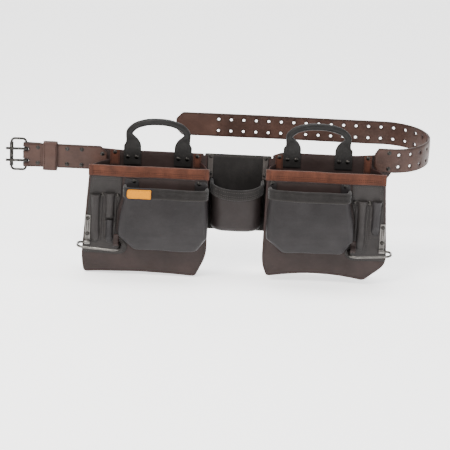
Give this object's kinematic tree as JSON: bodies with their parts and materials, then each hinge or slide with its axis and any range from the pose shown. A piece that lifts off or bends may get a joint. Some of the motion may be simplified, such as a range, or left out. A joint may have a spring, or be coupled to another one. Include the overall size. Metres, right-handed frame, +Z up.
{
  "type": "tool belt",
  "caption": "Leather carpenter's rig: two wide tool pouches and a tape pocket on a buckled waist belt, with carrying handles and hammer loops.",
  "frame": {"origin": "centre of the centre panel's back face, at the belt's centre line", "axes": "+X from the buckle end to the hole end, +Y back towards the wearer, +Z up"},
  "size_m": [0.8858, 0.3003, 0.3235],
  "materials": {
    "black_leather": "matt smooth grain, light stitching",
    "dark_leather": "matt oiled grain, brown-black",
    "brown_suede": "napped suede, red-brown",
    "black_suede": "napped suede, near black",
    "grey_leather": "matt, stitched",
    "oiled_leather": "oiled pull-up grain with darker edges",
    "steel": "nickel plated, worn",
    "gunmetal": "dark gunmetal plating",
    "yellow_label": "plain stitched label, no marks"
  },
  "bodies": {
    "centre_pouch": {"centre_back_panel": "black_suede", "centre_pocket": "dark_leather", "centre_pocket_binding": "black_suede", "centre_side_strips": "grey_leather", "centre_rivets": "gunmetal"},
    "buckle_strap": {"buckle_strap": "oiled_leather", "buckle_strap_rivets": "gunmetal"},
    "keeper": {"strap_keeper": "oiled_leather"},
    "buckle": {"buckle_frame": "gunmetal"},
    "roller": {"buckle_roller": "gunmetal"},
    "upper_prong": {"upper_prong": "gunmetal"},
    "lower_prong": {"lower_prong": "gunmetal"},
    "tail_strap": {"tail_strap": "oiled_leather"},
    "left_hammer_loop": {"left_hammer_loop": "steel"},
    "left_handle": {"left_handle": "black_leather"},
    "left_pouch": {"left_back_panel": "dark_leather", "left_front_pocket": "black_leather", "left_gusset": "dark_leather", "left_handle_tabs": "black_leather", "left_label_tag": "yellow_label", "left_loop_plate": "steel", "left_loop_tab": "dark_leather", "left_mouth_binding": "brown_suede", "left_pocket_binding": "black_suede", "left_pouch_front": "dark_leather", "left_rivets": "gunmetal", "left_stays": "brown_suede", "left_tool_patch": "black_leather", "left_tool_sleeves": "black_leather", "buckle_strap_anchor": "oiled_leather"},
    "right_hammer_loop": {"right_hammer_loop": "steel"},
    "right_handle": {"right_handle": "black_leather"},
    "right_pouch": {"right_back_panel": "dark_leather", "right_front_pocket": "black_leather", "right_gusset": "dark_leather", "right_handle_tabs": "black_leather", "right_loop_plate": "steel", "right_loop_tab": "dark_leather", "right_mouth_binding": "brown_suede", "right_pocket_binding": "black_suede", "right_pouch_front": "dark_leather", "right_rivets": "gunmetal", "right_stays": "brown_suede", "right_tool_patch": "black_leather", "right_tool_sleeves": "black_leather", "tail_strap_anchor": "oiled_leather"}
  },
  "joints": [
    {"name": "left_pouch_wrap", "type": "hinge", "parent": "centre_pouch", "child": "left_pouch", "pos_m": [-0.072, -0.002, 0], "axis": [0, 0, 1], "range_deg": [-60, 0]},
    {"name": "right_pouch_wrap", "type": "hinge", "parent": "centre_pouch", "child": "right_pouch", "pos_m": [0.072, -0.002, 0], "axis": [0, 0, 1], "range_deg": [0, 30]},
    {"name": "buckle_strap_bend", "type": "hinge", "parent": "left_pouch", "child": "buckle_strap", "pos_m": [-0.3, -0.00625, 0.0035], "axis": [0, 0, 1], "range_deg": [-75, 20]},
    {"name": "tail_strap_bend", "type": "hinge", "parent": "right_pouch", "child": "tail_strap", "pos_m": [0.325, -0.00625, 0.026], "axis": [0, 0, 1], "range_deg": [-50, 4]},
    {"name": "keeper_slide", "type": "slide", "parent": "buckle_strap", "child": "keeper", "axis": [1, 0, 0], "range_m": [-0.003, 0.068]},
    {"name": "buckle_pivot", "type": "hinge", "parent": "buckle_strap", "child": "buckle", "pos_m": [-0.441, -0.005, 0.0035], "axis": [0, 0, 1], "range_deg": [-60, 20]},
    {"name": "roller_spin", "type": "hinge", "parent": "buckle", "child": "roller", "pos_m": [-0.471, -0.005, 0.0035], "axis": [0, 0, 1], "continuous": true},
    {"name": "upper_prong_pivot", "type": "hinge", "parent": "buckle", "child": "upper_prong", "pos_m": [-0.441, -0.005, 0.016], "axis": [0, 0, 1], "range_deg": [0, 90]},
    {"name": "lower_prong_pivot", "type": "hinge", "parent": "buckle", "child": "lower_prong", "pos_m": [-0.441, -0.005, -0.009], "axis": [0, 0, 1], "range_deg": [0, 90]},
    {"name": "left_hammer_loop_swing", "type": "hinge", "parent": "left_pouch", "child": "left_hammer_loop", "pos_m": [-0.305, -0.0701, -0.161], "axis": [-1, 0, 0], "range_deg": [0, 22]},
    {"name": "left_handle_fold", "type": "hinge", "parent": "left_pouch", "child": "left_handle", "pos_m": [-0.167, -0.0057, 0.0245], "axis": [1, 0, 0], "range_deg": [-80, 80]},
    {"name": "right_hammer_loop_swing", "type": "hinge", "parent": "right_pouch", "child": "right_hammer_loop", "pos_m": [0.305, -0.0701, -0.152], "axis": [-1, 0, 0], "range_deg": [0, 22]},
    {"name": "right_handle_fold", "type": "hinge", "parent": "right_pouch", "child": "right_handle", "pos_m": [0.167, -0.0057, 0.0345], "axis": [1, 0, 0], "range_deg": [-80, 80]}
  ]
}
